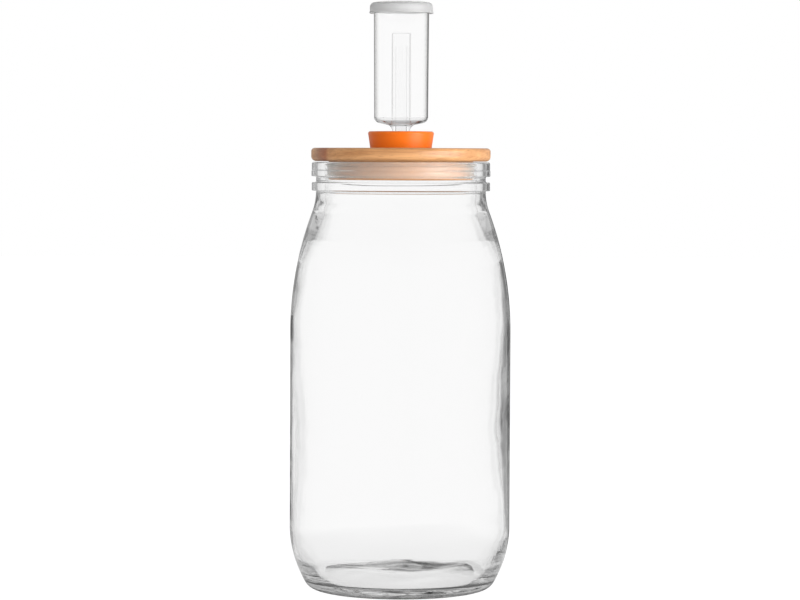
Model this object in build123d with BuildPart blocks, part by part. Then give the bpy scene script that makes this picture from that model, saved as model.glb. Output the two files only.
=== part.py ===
from build123d import *
from math import asin, cos, degrees, radians, sin, sqrt, tan
import os

# Fermentation jar with airlock, in millimetres, +Z up.
# The origin is the centre of the foot ring, on the surface that the jar stands on.
# Every piece is turned about the Z axis, so each is a section in the XZ plane, revolved.

# Sizes of the glass jar
jar_height = 269.0
body_radius = 69.5
wall = 2.8
shoulder_radius = 215.0         # the long outward curve from the body to the neck
neck_radius = 53.4
neck_fillet_radius = 38.0       # where the shoulder turns up into the neck
mouth_radius = 47.9             # the bore that the lid's seal fits
neck_bore_length = 32.6         # from the rim down to the inner shoulder
inner_shoulder_angle = 36.0     # how far the inner shoulder turns out from the bore
inner_shoulder_bead = 12.0
heel_radius = 70.6
heel_lean = 30.5                # how far the heel leans in where it meets the foot corner
foot_corner_radius = 8.4
inner_heel_radius = 42.0
inner_heel_lean = 42.0
floor_corner_radius = 5.0
floor_thickness = 6.8
floor_dome = 1.4
foot_width = 4.0
base_pushup = 3.2

# Rings of the neck finish
top_ring_height = 9.0
top_ring_radius = 56.3
rim_band_height = 5.2           # upper part of the top ring, a little smaller than the rest
rim_band_step = 0.2
rim_edge_radius = 1.2
ring_edge_radius = 0.9
ring_gap = 3.7
lower_ring_height = 5.3
lower_ring_radius = 56.1

# Sizes of the wooden lid and its plug
lid_radius = 56.4
lid_thickness = 8.3
lid_gap = 0.5                   # daylight between the rim and the lid
lid_top_edge = 2.2
lid_under_edge = 3.0
plug_radius = 45.4
plug_height = 11.8
plug_edge_chamfer = 1.2

# Sizes of the finned silicone seal in the plug's groove
seal_groove_depth = 2.0
seal_height = 8.6
seal_flange = 1.4               # wood left under the groove
seal_body = 2.7                 # radial thickness without the fins
seal_fin_count = 3
seal_fin_root = 1.5
seal_fin_tip = 0.5
seal_fin_droop = 0.5
seal_clearance = 0.05
bore_clearance = 0.06           # between the fin tips and the jar's mouth

# Sizes of the bung
bung_radius = 20.9
bung_height = 29.1
bung_showing = 10.5             # how far it stands above the lid
bung_half_angle = 8.5
bung_edge_radius = 1.3
bung_foot_chamfer = 0.8
bung_clearance = 0.05
hole_chamfer = 0.5

# Sizes of the airlock body
chamber_radius = 16.95          # outside, at the foot of the cylinder
chamber_draft = 0.4             # how much wider the cylinder is at its top
chamber_wall = 1.1
chamber_height = 73.2           # from the foot of the cylinder to its open top
chamber_corner_radius = 3.0
shoulder_slope = 13.0           # the sloping floor's angle
stem_radius = 5.65
stem_taper = 0.75
stem_length = 33.5
stem_wall = 1.0
stem_fillet = 2.4
stem_clearance = 0.05
stem_gap = 3.4                  # from the top of the bung to the funnel
riser_radius = 4.5
riser_taper = 0.5
riser_bore_radius = 3.4
riser_height = 44.9
riser_cone_height = 3.8
riser_cone_width = 1.6
snap_rim_radius = 18.44
snap_rim_height = 2.2
snap_rim_drop = 1.6             # from the open top down to the snap rim

# Sizes of the float
float_radius = 6.15
float_wall = 0.75
float_height = 54.3
float_edge_radius = 0.7
float_notch_width = 1.1
float_notch_height = 2.8
float_notch_count = 4
float_clearance = 0.3           # between the float's foot and the cone that it stands on

# Sizes of the cap
cap_wall = 1.3
cap_clearance = 0.06            # between the snap rim and the cap's skirt
cap_rest_gap = 0.3
cap_skirt_height = 5.6
cap_edge_radius = 3.0
cap_lip_width = 0.3
cap_lip_height = 1.2
vent_radius = 0.6
vent_count = 6
vent_circle_share = 0.55        # of the cap's inner radius

# One overrun serves every cut
overrun = 1.0


def on_axis(height):
    return (0, height)


def meet_circle(start, slope, centre, radius):
    # Where a line that leaves start, slope degrees below level, first meets the circle
    step_r, step_z = cos(radians(slope)), -sin(radians(slope))
    off_r, off_z = start[0] - centre[0], start[1] - centre[1]
    along = off_r * step_r + off_z * step_z
    run = -along + sqrt(along**2 - off_r**2 - off_z**2 + radius**2)
    return (start[0] + run * step_r, start[1] + run * step_z)


# Heights and radii that follow from the sizes
top_ring_foot = jar_height - top_ring_height
lower_ring_top = top_ring_foot - ring_gap
lower_ring_foot = lower_ring_top - lower_ring_height
rim_band_radius = top_ring_radius - rim_band_step
rim_band_foot = jar_height - rim_band_height

# The shoulder's arc and the neck's fillet touch, so one angle serves both
shoulder_centre_r = body_radius - shoulder_radius
fillet_centre_r = neck_radius + neck_fillet_radius
centres_apart = shoulder_radius + neck_fillet_radius
shoulder_rise = sqrt(centres_apart**2 - (fillet_centre_r - shoulder_centre_r) ** 2)
shoulder_foot = lower_ring_foot - shoulder_rise
shoulder_angle = degrees(asin(shoulder_rise / centres_apart))

# The foot corner and the heel touch in the same way
heel_turn = radians(heel_lean)
foot_radius = body_radius - heel_radius * (1 - cos(heel_turn)) - foot_corner_radius * cos(heel_turn)
heel_foot = foot_corner_radius * (1 - sin(heel_turn))
heel_top = heel_foot + heel_radius * sin(heel_turn)

# The inside of the jar
inner_radius = body_radius - wall
inner_shoulder_radius = shoulder_radius - wall
inner_turn = radians(inner_heel_lean)
floor_edge_radius = (inner_radius - inner_heel_radius * (1 - cos(inner_turn))
                     - floor_corner_radius * cos(inner_turn))
inner_heel_foot = floor_thickness + floor_corner_radius * (1 - sin(inner_turn))
inner_heel_top = inner_heel_foot + inner_heel_radius * sin(inner_turn)
bore_foot = jar_height - neck_bore_length
bead_turn = radians(inner_shoulder_angle)
bead_centre = (mouth_radius + inner_shoulder_bead, bore_foot)
bead_end = (bead_centre[0] - inner_shoulder_bead * cos(bead_turn),
            bead_centre[1] - inner_shoulder_bead * sin(bead_turn))
inner_shoulder_slope = 90 - inner_shoulder_angle
inner_corner = meet_circle(bead_end, inner_shoulder_slope,
                           (shoulder_centre_r, shoulder_foot), inner_shoulder_radius)
inner_corner_angle = degrees(asin((inner_corner[1] - shoulder_foot) / inner_shoulder_radius))

# The lid, its plug and the seal's groove
lid_underside = jar_height + lid_gap
lid_top = lid_underside + lid_thickness
plug_foot = lid_underside - plug_height
groove_foot = plug_foot + seal_flange
groove_height = seal_height + 2 * seal_clearance
groove_radius = plug_radius - seal_groove_depth

# The bung, which hangs in the lid by its taper
bung_top = lid_top + bung_showing
bung_foot = bung_top - bung_height
bung_slope = tan(radians(bung_half_angle))

# The airlock body, which hangs in the bung by the taper of its stem
funnel_foot = bung_top + stem_gap
stem_foot = funnel_foot - stem_length
stem_slope = stem_taper / stem_length
funnel_slope = tan(radians(shoulder_slope))
chamber_foot = funnel_foot + (chamber_radius - stem_radius) * funnel_slope
chamber_top = chamber_foot + chamber_height
chamber_top_radius = chamber_radius + chamber_draft
floor_over_stem = funnel_foot + chamber_wall / cos(radians(shoulder_slope))
riser_foot_radius = riser_radius + riser_taper
riser_top = floor_over_stem + riser_height + riser_cone_height
snap_rim_top = chamber_top - snap_rim_drop

# The float, which stands on the cone at the foot of the riser
float_bore_radius = float_radius - float_wall
cone_top = floor_over_stem + riser_cone_height
float_foot = cone_top - (float_bore_radius - riser_foot_radius) * riser_cone_height / riser_cone_width
float_foot = float_foot + float_clearance
float_top = float_foot + float_height

# The cap, which rests on the airlock's open top
cap_bore_radius = snap_rim_radius + cap_clearance
cap_radius = cap_bore_radius + cap_wall
cap_inside_top = chamber_top + cap_rest_gap
cap_top = cap_inside_top + cap_wall
cap_foot = cap_inside_top - cap_skirt_height

# Glass jar
with BuildPart() as glass_jar:
    with BuildSketch(Plane.XZ):
        with BuildLine():
            # Outside, from the middle of the base up to the rim
            base = TangentArc(on_axis(base_pushup), (foot_radius - foot_width, 0), tangent=(1, 0))
            Line(base @ 1, (foot_radius, 0))
            foot_corner = CenterArc((foot_radius, foot_corner_radius), foot_corner_radius,
                                    -90, 90 - heel_lean)
            heel = CenterArc((body_radius - heel_radius, heel_top), heel_radius,
                             -heel_lean, heel_lean)
            Line((body_radius, heel_top), (body_radius, shoulder_foot))
            CenterArc((shoulder_centre_r, shoulder_foot), shoulder_radius, 0, shoulder_angle)
            CenterArc((fillet_centre_r, lower_ring_foot), neck_fillet_radius,
                      180 + shoulder_angle, -shoulder_angle)
            Polyline((neck_radius, lower_ring_foot), (lower_ring_radius, lower_ring_foot),
                     (lower_ring_radius, lower_ring_top), (neck_radius, lower_ring_top),
                     (neck_radius, top_ring_foot), (top_ring_radius, top_ring_foot),
                     (top_ring_radius, rim_band_foot), (rim_band_radius, rim_band_foot),
                     (rim_band_radius, jar_height), (mouth_radius, jar_height),
                     (mouth_radius, bore_foot))
            # Inside, from the foot of the neck's bore down to the middle of the floor
            CenterArc(bead_centre, inner_shoulder_bead, 180, inner_shoulder_angle)
            Line(bead_end, inner_corner)
            CenterArc((shoulder_centre_r, shoulder_foot), inner_shoulder_radius,
                      inner_corner_angle, -inner_corner_angle)
            Line((inner_radius, shoulder_foot), (inner_radius, inner_heel_top))
            CenterArc((inner_radius - inner_heel_radius, inner_heel_top), inner_heel_radius,
                      0, -inner_heel_lean)
            CenterArc((floor_edge_radius, floor_thickness + floor_corner_radius),
                      floor_corner_radius, -inner_heel_lean, inner_heel_lean - 90)
            floor_line = TangentArc(on_axis(floor_thickness + floor_dome),
                                    (floor_edge_radius, floor_thickness), tangent=(1, 0))
            Line(floor_line @ 0, base @ 0)
        make_face()
    revolve(axis=Axis.Z)
    rings = glass_jar.edges().filter_by(GeomType.CIRCLE).filter_by_position(
        Axis.Z, lower_ring_foot, top_ring_foot)
    fillet(rings.filter_by(lambda edge: edge.radius > neck_radius + ring_edge_radius),
           radius=ring_edge_radius)
    fillet(glass_jar.edges().group_by(Axis.Z)[-1], radius=rim_edge_radius)
glass_jar.part.label = "glass_jar"

# Wooden lid, with the plug that goes into the neck
with BuildPart() as wooden_lid:
    with BuildSketch(Plane.XY.offset(lid_underside)):
        Circle(lid_radius)
    extrude(amount=lid_thickness)
    fillet(wooden_lid.edges().group_by(Axis.Z)[-1], radius=lid_top_edge)
    fillet(wooden_lid.edges().group_by(Axis.Z)[0], radius=lid_under_edge)
    with BuildSketch(Plane.XY.offset(plug_foot)):
        Circle(plug_radius)
    extrude(amount=plug_height)
    chamfer(wooden_lid.edges().group_by(Axis.Z)[0], length=plug_edge_chamfer)
    # The groove that holds the seal
    with BuildSketch(Plane.XY.offset(groove_foot)):
        Circle(plug_radius + overrun)
        Circle(groove_radius, mode=Mode.SUBTRACT)
    extrude(amount=groove_height, mode=Mode.SUBTRACT)
    # The tapered hole for the bung, with its upper edge broken
    hole_top_radius = bung_radius - bung_showing * bung_slope + bung_clearance
    hole_foot_radius = hole_top_radius - (lid_top - plug_foot) * bung_slope
    with BuildSketch(Plane.XZ):
        with BuildLine():
            Polyline(on_axis(plug_foot - overrun),
                     (hole_foot_radius - overrun * bung_slope, plug_foot - overrun),
                     (hole_top_radius + overrun * bung_slope, lid_top + overrun),
                     on_axis(lid_top + overrun), close=True)
        make_face()
    revolve(axis=Axis.Z, mode=Mode.SUBTRACT)
    top_edges = wooden_lid.edges().filter_by(GeomType.CIRCLE).group_by(Axis.Z)[-1]
    chamfer(top_edges.sort_by(SortBy.RADIUS)[0], length=hole_chamfer)
wooden_lid.part.label = "wooden_lid"

# Silicone seal, a ring with fins that drag on the neck's bore
seal_foot = groove_foot + seal_clearance
seal_inner_radius = groove_radius + seal_clearance
seal_radius = seal_inner_radius + seal_body
fin_radius = mouth_radius - bore_clearance
fin_spacing = seal_height / seal_fin_count
with BuildPart() as lid_seal:
    with BuildSketch(Plane.XY.offset(seal_foot)):
        Circle(seal_radius)
        Circle(seal_inner_radius, mode=Mode.SUBTRACT)
    extrude(amount=seal_height)
    for fin in range(seal_fin_count):
        fin_height = seal_foot + (fin + 1 / 2) * fin_spacing
        with BuildSketch(Plane.XZ):
            with BuildLine():
                Polyline((seal_inner_radius + seal_clearance, fin_height - seal_fin_root / 2),
                         (seal_radius, fin_height - seal_fin_root / 2),
                         (fin_radius, fin_height + seal_fin_droop - seal_fin_tip / 2),
                         (fin_radius, fin_height + seal_fin_droop + seal_fin_tip / 2),
                         (seal_radius, fin_height + seal_fin_root / 2),
                         (seal_inner_radius + seal_clearance, fin_height + seal_fin_root / 2),
                         close=True)
            make_face()
        revolve(axis=Axis.Z)
lid_seal.part.label = "lid_seal"

# Silicone bung, bored for the airlock's stem
with BuildPart() as silicone_bung:
    with BuildSketch(Plane.XZ):
        with BuildLine():
            Polyline(on_axis(bung_foot),
                     (bung_radius - bung_height * bung_slope, bung_foot),
                     (bung_radius, bung_top), on_axis(bung_top), close=True)
        make_face()
    revolve(axis=Axis.Z)
    fillet(silicone_bung.edges().group_by(Axis.Z)[-1], radius=bung_edge_radius)
    chamfer(silicone_bung.edges().group_by(Axis.Z)[0], length=bung_foot_chamfer)
    bore_top_radius = stem_radius - stem_gap * stem_slope + stem_clearance
    bore_foot_radius = bore_top_radius - bung_height * stem_slope
    with BuildSketch(Plane.XZ):
        with BuildLine():
            Polyline(on_axis(bung_foot - overrun),
                     (bore_foot_radius - overrun * stem_slope, bung_foot - overrun),
                     (bore_top_radius + overrun * stem_slope, bung_top + overrun),
                     on_axis(bung_top + overrun), close=True)
        make_face()
    revolve(axis=Axis.Z, mode=Mode.SUBTRACT)
silicone_bung.part.label = "silicone_bung"

# Airlock body: cylinder, sloping floor, riser and stem in one moulding
stem_foot_radius = stem_radius - stem_taper
stem_bore_radius = stem_foot_radius - stem_wall
chamber_inner_radius = chamber_radius - chamber_wall
floor_edge_height = floor_over_stem + (chamber_inner_radius - stem_radius) * funnel_slope
with BuildPart() as airlock_body:
    with BuildSketch(Plane.XZ) as airlock_section:
        with BuildLine():
            # Outside, from the foot of the stem up to the snap rim
            Polyline((stem_bore_radius, stem_foot), (stem_foot_radius, stem_foot),
                     (stem_radius, funnel_foot), (chamber_radius, chamber_foot),
                     (chamber_top_radius, snap_rim_top - snap_rim_height),
                     (snap_rim_radius, snap_rim_top - snap_rim_height / 2),
                     (chamber_top_radius, snap_rim_top), (chamber_top_radius, chamber_top),
                     (chamber_top_radius - chamber_wall, chamber_top),
                     (chamber_inner_radius, floor_edge_height),
                     (riser_foot_radius + riser_cone_width, floor_over_stem),
                     (riser_foot_radius, cone_top), (riser_radius, riser_top),
                     (riser_bore_radius, riser_top), (riser_bore_radius, floor_over_stem),
                     close=True)
        make_face()
        corners = airlock_section.vertices()
        fillet(corners.sort_by_distance((chamber_radius, chamber_foot))[0],
               radius=chamber_corner_radius)
        fillet(corners.sort_by_distance((chamber_inner_radius, floor_edge_height))[0],
               radius=chamber_corner_radius - chamber_wall)
        fillet(corners.sort_by_distance((stem_radius, funnel_foot))[0], radius=stem_fillet)
    revolve(axis=Axis.Z)
airlock_body.part.label = "airlock_body"

# Airlock float, an upturned cup with notches in its foot
with BuildPart() as airlock_float:
    with BuildSketch(Plane.XY.offset(float_foot)):
        Circle(float_radius)
    extrude(amount=float_height)
    fillet(airlock_float.edges().group_by(Axis.Z)[-1], radius=float_edge_radius)
    with BuildSketch(Plane.XY.offset(float_foot)):
        Circle(float_bore_radius)
    extrude(amount=float_height - float_wall, mode=Mode.SUBTRACT)
    with BuildSketch(Plane.XY.offset(float_foot)):
        with PolarLocations(float_radius - float_wall / 2, float_notch_count, start_angle=-90):
            Rectangle(2 * float_wall, float_notch_width)
    extrude(amount=float_notch_height, mode=Mode.SUBTRACT)
airlock_float.part.label = "airlock_float"

# Airlock cap, with vent holes through its top
with BuildPart() as airlock_cap:
    with BuildSketch(Plane.XY.offset(cap_foot)):
        Circle(cap_radius)
    extrude(amount=cap_top - cap_foot)
    fillet(airlock_cap.edges().group_by(Axis.Z)[-1], radius=cap_edge_radius)
    with BuildSketch(Plane.XY.offset(cap_foot)):
        Circle(cap_radius + cap_lip_width)
    extrude(amount=cap_lip_height)
    with BuildSketch(Plane.XY.offset(cap_foot)):
        Circle(cap_bore_radius)
    extrude(amount=cap_skirt_height, mode=Mode.SUBTRACT)
    inside_edge = airlock_cap.edges().filter_by_position(Axis.Z, cap_inside_top, cap_inside_top)
    fillet(inside_edge.filter_by(GeomType.CIRCLE), radius=cap_edge_radius - cap_wall)
    with BuildSketch(Plane.XY.offset(cap_inside_top)):
        with PolarLocations(vent_circle_share * cap_bore_radius, vent_count):
            Circle(vent_radius)
    extrude(amount=cap_wall, mode=Mode.SUBTRACT)
airlock_cap.part.label = "airlock_cap"

os.makedirs("parts", exist_ok=True)
export_step(glass_jar.part, "parts/glass_jar.step")
export_step(wooden_lid.part, "parts/wooden_lid.step")
export_step(lid_seal.part, "parts/lid_seal.step")
export_step(silicone_bung.part, "parts/silicone_bung.step")
export_step(airlock_body.part, "parts/airlock_body.step")
export_step(airlock_float.part, "parts/airlock_float.step")
export_step(airlock_cap.part, "parts/airlock_cap.step")

print("heights: rim", jar_height, "lid top", lid_top, "bung top", bung_top)
print("chamber", round(chamber_foot, 2), round(chamber_top, 2), "riser top", round(riser_top, 2))
print("float", round(float_foot, 2), round(float_top, 2), "cap", round(cap_foot, 2), round(cap_top, 2))
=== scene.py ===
# %% [markdown]
# # A fermentation jar with an airlock
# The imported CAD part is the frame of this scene: its pieces say where everything is and what moves.
# This notebook dresses it. Almost every piece of a jar is turned, blown or moulded round one axis, so
# nearly all of them start as an outline in the XZ plane that is spun once round Z.
# What makes or breaks the picture is the clear glass, so its two surfaces are modelled apart.

# %% Load the frame
from math import asin, atan2, cos, degrees, pi, radians, sin, sqrt, tan

import bmesh
import bpy
from mathutils import Matrix, Vector, noise


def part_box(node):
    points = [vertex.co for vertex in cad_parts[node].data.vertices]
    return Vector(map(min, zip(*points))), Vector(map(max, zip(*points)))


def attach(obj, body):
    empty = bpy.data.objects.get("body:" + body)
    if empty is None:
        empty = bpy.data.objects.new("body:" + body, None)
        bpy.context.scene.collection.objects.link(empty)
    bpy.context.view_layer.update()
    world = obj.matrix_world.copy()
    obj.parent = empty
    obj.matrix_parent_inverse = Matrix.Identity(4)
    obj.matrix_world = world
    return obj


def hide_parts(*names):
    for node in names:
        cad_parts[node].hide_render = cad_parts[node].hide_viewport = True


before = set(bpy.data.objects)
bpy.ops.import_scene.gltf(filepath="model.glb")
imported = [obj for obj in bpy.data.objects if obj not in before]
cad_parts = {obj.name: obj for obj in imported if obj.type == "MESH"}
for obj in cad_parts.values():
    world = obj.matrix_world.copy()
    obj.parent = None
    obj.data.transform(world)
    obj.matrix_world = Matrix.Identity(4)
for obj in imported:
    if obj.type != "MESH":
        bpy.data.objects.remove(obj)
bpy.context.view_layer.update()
mm = 0.001

# %% [markdown]
# ## The camera
# The photograph was taken with a long lens from about the height of the lid: the cap is seen a little
# from below and the foot a little from above. The foot's ellipse gives the camera's height, and the
# drift of the pieces' centres from foot to cap gives a roll of about a fifth of a degree.
# A ray in the thick edge of the glass is reflected many times before it leaves, so it may bounce often.

# %% Place the camera
focal_pixels = 2950
picture_width = 800
camera_distance = 1858.5 * mm
camera_height = 273 * mm
camera_side = -0.24 * mm
camera_tilt = radians(2.8)
camera_roll = radians(0.21)
nearest_seen = 0.05
most_bounces = 96

camera_data = bpy.data.cameras.new("camera")
camera_data.sensor_width = 36
camera_data.lens = focal_pixels / picture_width * camera_data.sensor_width
camera = bpy.data.objects.new("camera", camera_data)
bpy.context.collection.objects.link(camera)
camera.matrix_world = (
    Matrix.Translation((camera_side, -camera_distance, camera_height))
    @ Matrix.Rotation(pi / 2 - camera_tilt, 4, "X")
    @ Matrix.Rotation(camera_roll, 4, "Z")
)
camera_data.clip_start = nearest_seen
bpy.context.scene.camera = camera
bpy.context.scene.view_settings.view_transform = "Standard"
cycles = bpy.context.scene.cycles
cycles.max_bounces = cycles.transmission_bounces = cycles.glossy_bounces = most_bounces
print("camera sees", round(degrees(camera_data.angle), 1), "degrees across")

# %% [markdown]
# ## Light
# Clear glass is photographed against a bright field: the rays that go straight through it see white,
# and its edges gather the darker surroundings. The world is white to the eye and straight through
# glass, and what lights solid surfaces is a softer, dimmer version of it.
# The lines in the glass are reflections of what stands round it. White cards stand behind the jar with
# dark gaps between them, up to a little over eye level, and it is grey overhead. Only rays that have
# been reflected meet the cards, so they draw the dark lines and leave the ground white.
# A large soft lamp at the front right models the wood and the bung, and a weak one fills the left. The
# big lamp is linked to the solid pieces and the floor, so it leaves no glare on the glass.
# The nodes for all this are added by two small helpers, one for any node and one for a colour ramp.

# %% Helpers for nodes
def node(tree, kind, place=(0, 0), **values):
    made = tree.nodes.new(kind)
    made.location = place
    for name, value in values.items():
        setattr(made, name, value)
    return made


def ramp_of(tree, place, *stops):
    made = node(tree, "ShaderNodeValToRGB", place)
    ramp = made.color_ramp
    for i, (position, colour) in enumerate(stops):
        stop = ramp.elements[i] if i < 2 else ramp.elements.new(position)
        stop.position = position
        stop.color = (*colour, 1)
    return made


print("helpers for nodes and ramps")

# %% [markdown]
# ## Rays that see white
# A real backdrop looks equally white however the light reaches it. Here a ray that has been reflected
# in the glass finds it a little darker each time, because real glass loses some light on the way.
# Light Path tells what kind of ray is asking and how often it has been reflected.

# %% Which rays see white
bounced_level, darkest_level = 0.9, 0.45


def sees_white(tree):
    # Gives the Light Path node and three more. any_of is 1 for rays that should meet the white
    # surroundings, seen, mirrored or through glass. level is how bright they find them, which falls
    # with each reflection on the way. bounced is 1 for rays that have been reflected, which alone
    # meet the dark gaps and the shade.
    path = node(tree, "ShaderNodeLightPath", (-1100, 300))
    either = node(tree, "ShaderNodeMath", (-900, 300), operation="MAXIMUM")
    any_of = node(tree, "ShaderNodeMath", (-700, 300), operation="MAXIMUM")
    tree.links.new(path.outputs["Is Camera Ray"], either.inputs[0])
    tree.links.new(path.outputs["Is Glossy Ray"], either.inputs[1])
    tree.links.new(either.outputs[0], any_of.inputs[0])
    tree.links.new(path.outputs["Is Transmission Ray"], any_of.inputs[1])
    fall = node(tree, "ShaderNodeMath", (-900, 500), operation="POWER")
    level = node(tree, "ShaderNodeMath", (-700, 500), operation="MAXIMUM")
    bounced = node(tree, "ShaderNodeMath", (-900, 700), operation="MINIMUM")
    fall.inputs[0].default_value = bounced_level
    level.inputs[1].default_value = darkest_level
    bounced.inputs[1].default_value = 1.0
    tree.links.new(path.outputs["Glossy Depth"], fall.inputs[1])
    tree.links.new(path.outputs["Glossy Depth"], bounced.inputs[0])
    tree.links.new(fall.outputs[0], level.inputs[0])
    return path, any_of, level, bounced


print("level after one reflection", bounced_level, "and at least", darkest_level)

# %% [markdown]
# ## Cards behind the jar
# A photographer stands black and white cards round clear glass to draw its edges. These are a pattern
# in the surroundings: a ramp along X gives the cards their levels, from left to right, and they fade
# out a little above eye level, because the thick foot mirrors what is higher up and is pale.

# %% Cards behind the jar
cards_fade, cards_top = 0.128, 0.145
behind_levels = [(-0.64, 1), (-0.48, 0.85), (-0.44, 0.32), (-0.24, 0.32), (-0.17, 0.9), (0, 0.9),
                 (0.05, 0.08), (0.25, 0.08), (0.29, 0.45), (0.33, 0.45), (0.37, 0.2), (0.5, 0.25),
                 (0.57, 0.8), (0.7, 1)]
row_levels = [(0.2, 1), (0.36, 0.7), (0.95, 0.85)]


def greys(levels):
    # Stops for a ramp from (position, level) pairs
    return [(position, (level, level, level)) for position, level in levels]


def backdrop_pattern(tree, split):
    # White cards with dark gaps side by side behind the jar, up to a little over eye level, and grey
    # further up
    across = node(tree, "ShaderNodeMath", (-700, -300), operation="MULTIPLY_ADD")
    across.inputs[1].default_value = 0.5
    across.inputs[2].default_value = 0.5
    cards = ramp_of(tree, (-500, -300), *greys([((x + 1) / 2, level) for x, level in behind_levels]))
    lift = node(tree, "ShaderNodeMath", (-700, -550), operation="ABSOLUTE")
    rows = ramp_of(tree, (-550, -550), *greys(row_levels))
    pattern = node(tree, "ShaderNodeMath", (-50, -400), operation="MULTIPLY")
    low = node(tree, "ShaderNodeMapRange", (-500, -800), interpolation_type="SMOOTHSTEP")
    low.inputs["From Min"].default_value = cards_fade
    low.inputs["From Max"].default_value = cards_top
    low.inputs["To Min"].default_value = 1.0
    low.inputs["To Max"].default_value = 0.0
    standing = node(tree, "ShaderNodeMix", (-250, -450))
    standing.inputs["A"].default_value = 1.0
    tree.links.new(split.outputs["Z"], low.inputs["Value"])
    tree.links.new(low.outputs["Result"], standing.inputs["Factor"])
    tree.links.new(cards.outputs["Color"], standing.inputs["B"])
    tree.links.new(split.outputs["X"], across.inputs[0])
    tree.links.new(across.outputs[0], cards.inputs["Fac"])
    tree.links.new(split.outputs["Z"], lift.inputs[0])
    tree.links.new(lift.outputs[0], rows.inputs["Fac"])
    tree.links.new(standing.outputs["Result"], pattern.inputs[0])
    tree.links.new(rows.outputs["Color"], pattern.inputs[1])
    return pattern


print("cards and gaps:", len(behind_levels), "levels across")

# %% [markdown]
# ## Cards for reflected rays alone
# What is seen straight through the glass is plain white in the photograph, so such a ray mustn't meet
# a card. A ray that has been reflected does, but only where it points behind the jar, so that from
# other sides the room stays plain.

# %% Mix the cards in
behind_near, behind_full = 0.6, 0.8


def cards_if_bounced(tree, split, level, bounced):
    # The plain level for rays that go straight through, and the cards behind the jar for those that
    # have been reflected on the way
    pattern = backdrop_pattern(tree, split)
    plain_or_cards = node(tree, "ShaderNodeMix", (-250, -100))
    plain_or_cards.inputs["A"].default_value = 1.0
    brightness = node(tree, "ShaderNodeMath", (-100, -150), operation="MULTIPLY")
    behind = node(tree, "ShaderNodeMapRange", (-450, -900), interpolation_type="SMOOTHSTEP")
    behind.inputs["From Min"].default_value = behind_near
    behind.inputs["From Max"].default_value = behind_full
    only_behind = node(tree, "ShaderNodeMath", (-250, -900), operation="MULTIPLY")
    tree.links.new(split.outputs["Y"], behind.inputs["Value"])
    tree.links.new(bounced.outputs[0], only_behind.inputs[0])
    tree.links.new(behind.outputs["Result"], only_behind.inputs[1])
    tree.links.new(pattern.outputs[0], plain_or_cards.inputs["B"])
    tree.links.new(only_behind.outputs[0], plain_or_cards.inputs["Factor"])
    tree.links.new(plain_or_cards.outputs["Result"], brightness.inputs[0])
    tree.links.new(level.outputs[0], brightness.inputs[1])
    return brightness


print("the cards are full where Y of the direction is above", behind_full)

# %% [markdown]
# ## The world
# The world is the studio's white room. Everything that is seen, mirrored or looked at through glass
# meets its white, a little greyer overhead, and everything else is lit by a dimmer version, so that a
# colour renders about as it is written.

# %% Build the world
ambient_strength = 0.36
overhead_grey = 0.82
overhead_from, overhead_to = 0.35, 0.9

world = bpy.data.worlds.new("studio")
bpy.context.scene.world = world
world.use_nodes = True
tree = world.node_tree
tree.nodes.clear()
path, any_of, level, bounced = sees_white(tree)
where = node(tree, "ShaderNodeTexCoord", (-1100, 0))
split = node(tree, "ShaderNodeSeparateXYZ", (-900, 0))
height_ramp = ramp_of(tree, (-700, 0), *greys([(overhead_from, 1), (overhead_to, overhead_grey)]))
straight = node(tree, "ShaderNodeMix", (-400, 0), data_type="RGBA")
soft = node(tree, "ShaderNodeBackground", (-200, 150))
soft.inputs["Color"].default_value = (1, 1, 1, 1)
soft.inputs["Strength"].default_value = ambient_strength
white = node(tree, "ShaderNodeBackground", (-200, 0))
choose = node(tree, "ShaderNodeMixShader", (0, 100))
world_out = node(tree, "ShaderNodeOutputWorld", (200, 100))
tree.links.new(where.outputs["Generated"], split.inputs[0])
tree.links.new(split.outputs["Z"], height_ramp.inputs["Fac"])
tree.links.new(path.outputs["Is Camera Ray"], straight.inputs["Factor"])
tree.links.new(height_ramp.outputs["Color"], straight.inputs["A"])
straight.inputs["B"].default_value = (1, 1, 1, 1)
tree.links.new(straight.outputs["Result"], white.inputs["Color"])
brightness = cards_if_bounced(tree, split, level, bounced)
tree.links.new(brightness.outputs[0], white.inputs["Strength"])
tree.links.new(any_of.outputs[0], choose.inputs["Fac"])
tree.links.new(soft.outputs[0], choose.inputs[1])
tree.links.new(white.outputs[0], choose.inputs[2])
tree.links.new(choose.outputs[0], world_out.inputs["Surface"])
print("world of", len(tree.nodes), "nodes")

# %% [markdown]
# ## The lamps
# Two soft boxes, as a product photographer hangs them. An area lamp gives soft edges to the shading of
# the wood and the bung. Glass would show the lamps as bright panes, so rays through glass don't see
# them, and the weaker one isn't mirrored either.

# %% Hang the lamps
def soft_lamp(name, place, aim, width, height, power):
    data = bpy.data.lights.new(name, "AREA")
    data.shape = "RECTANGLE"
    data.size, data.size_y = width, height
    data.energy = power
    lamp = bpy.data.objects.new(name, data)
    bpy.context.collection.objects.link(lamp)
    lamp.location = place
    lamp.rotation_euler = (Vector(aim) - Vector(place)).to_track_quat("-Z", "Y").to_euler()
    lamp.visible_transmission = False
    return lamp


lamp_aim = (0, 0, 0.25)
key_place, key_power = (1.24, -0.86, 0.34), 25
fill_place, fill_power = (-0.85, -1.75, 0.4), 9.5
key_lamp = soft_lamp("key_lamp", key_place, lamp_aim, 1.3, 0.6, key_power)
fill_lamp = soft_lamp("fill_lamp", fill_place, lamp_aim, 1.5, 0.7, fill_power)
fill_lamp.visible_glossy = False
lit_by_key = bpy.data.collections.new("lit_by_key")
key_lamp.light_linking.receiver_collection = lit_by_key
print("lamps of", key_power, "and", fill_power, "watts")

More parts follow.
